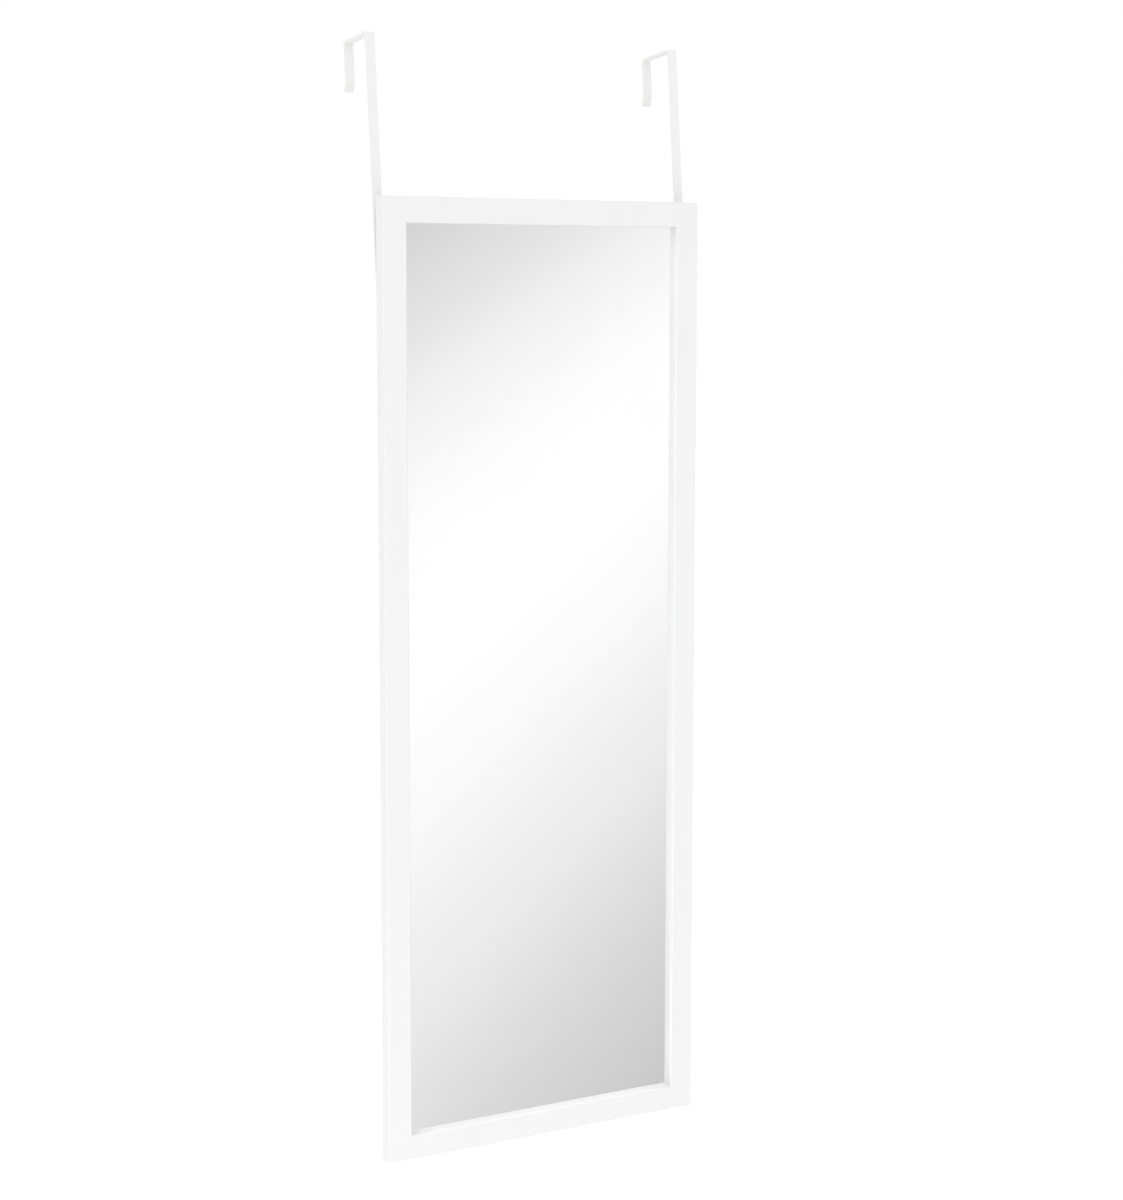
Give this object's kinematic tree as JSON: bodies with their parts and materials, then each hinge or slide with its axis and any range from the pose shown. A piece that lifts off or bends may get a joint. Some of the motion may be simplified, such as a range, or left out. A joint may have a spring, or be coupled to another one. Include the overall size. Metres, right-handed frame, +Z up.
{
  "type": "over the door mirror",
  "caption": "Tall narrow wall mirror in a slim mitred white frame, hung on height-adjustable bent steel hooks that drop over the top edge of a door.",
  "frame": {"origin": "midway between the two hooks, on the underside of their top bars and halfway across the gap that the door goes into: where the door's top edge bears", "axes": "+X to the right as the viewer faces the mirror, +Y from the mirror's face towards the door, +Z up"},
  "size_m": [0.35, 0.0955, 1.1069],
  "materials": {
    "frame": "white extruded moulding, smooth satin",
    "nail_steel": "bright rolled steel strip",
    "mirror_glass": "clear float glass, silvered on its back, with ground edges",
    "backing": "brown hardboard, smooth side out",
    "tab_steel": "bright spring steel",
    "hook_paint": "white powder coat, satin",
    "screw_zinc": "bright zinc plate",
    "bumper_rubber": "pale grey soft rubber"
  },
  "bodies": {
    "mirror": {"top_rail": "frame", "bottom_rail": "frame", "left_stile": "frame", "right_stile": "frame", "v_nails_top_left": "nail_steel", "v_nails_top_right": "nail_steel", "v_nails_bottom_left": "nail_steel", "v_nails_bottom_right": "nail_steel", "mirror_glass": "mirror_glass", "backing_board": "backing", "retaining_tabs_top": "tab_steel", "retaining_tabs_bottom": "tab_steel", "retaining_tabs_left": "tab_steel", "retaining_tabs_right": "tab_steel", "left_hook_screws": "screw_zinc", "right_hook_screws": "screw_zinc", "left_hook_washers": "screw_zinc", "right_hook_washers": "screw_zinc", "left_bumper": "bumper_rubber", "right_bumper": "bumper_rubber"},
    "left_strap": {"left_hook": "hook_paint"},
    "right_strap": {"right_hook": "hook_paint"}
  },
  "joints": [
    {"name": "left_hook_height", "type": "slide", "parent": "mirror", "child": "left_strap", "axis": [0, 0, 1], "range_m": [-0.03, 0]},
    {"name": "right_hook_height", "type": "slide", "parent": "mirror", "child": "right_strap", "axis": [0, 0, 1], "range_m": [-0.03, 0]}
  ]
}
